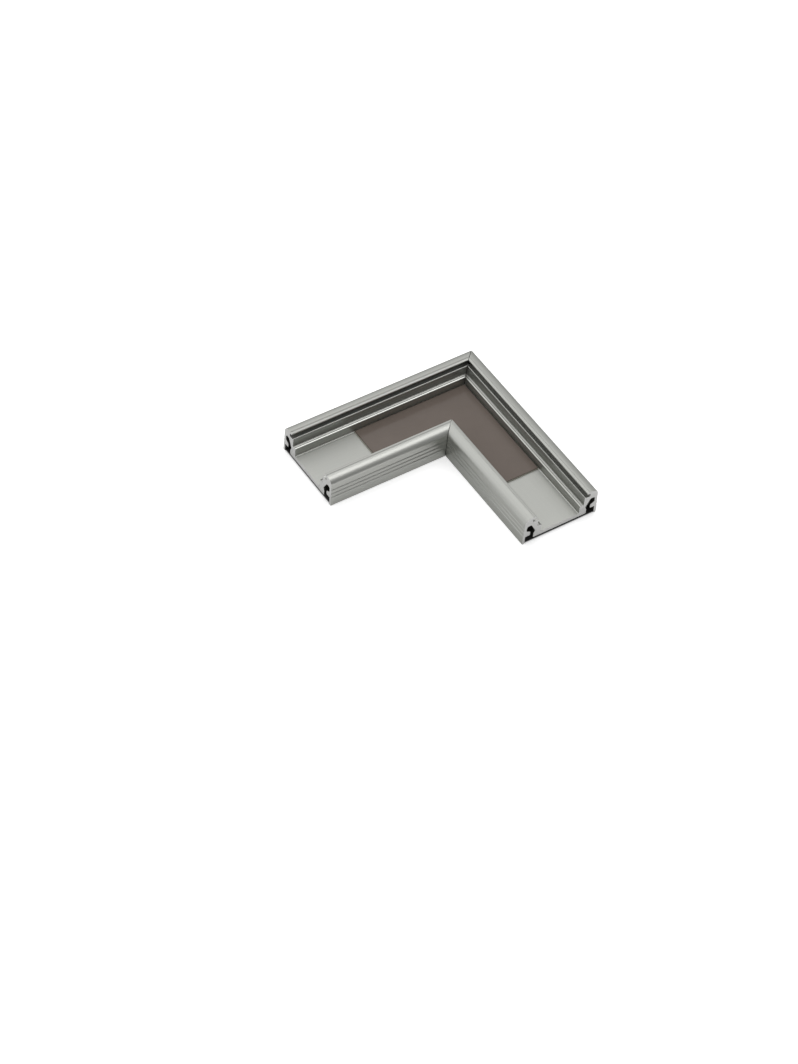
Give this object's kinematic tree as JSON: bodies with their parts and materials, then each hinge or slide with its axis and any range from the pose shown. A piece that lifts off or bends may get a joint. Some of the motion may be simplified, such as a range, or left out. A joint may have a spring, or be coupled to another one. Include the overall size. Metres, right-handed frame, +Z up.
{
  "type": "LED profile corner connector",
  "caption": "Right-angle corner for an LED channel profile: mitred aluminium channel arms joined by a flat L plate on the channel floor.",
  "frame": {"origin": "centre of the bounding box at the plane of the feet", "axes": "+Z up out of the open side of the channel; the outer corner of the L is towards +X +Y, the left arm runs towards -X and the right arm towards -Y"},
  "size_m": [0.08, 0.08, 0.0122],
  "materials": {
    "anodised_aluminium": "satin anodised, fine extrusion lines along each arm, brushed saw-cut ends",
    "plate_taupe": "smooth dark taupe coating, semi-gloss"
  },
  "bodies": {
    "root": {"left_arm": "anodised_aluminium", "right_arm": "anodised_aluminium", "joining_plate": "plate_taupe"}
  },
  "joints": []
}
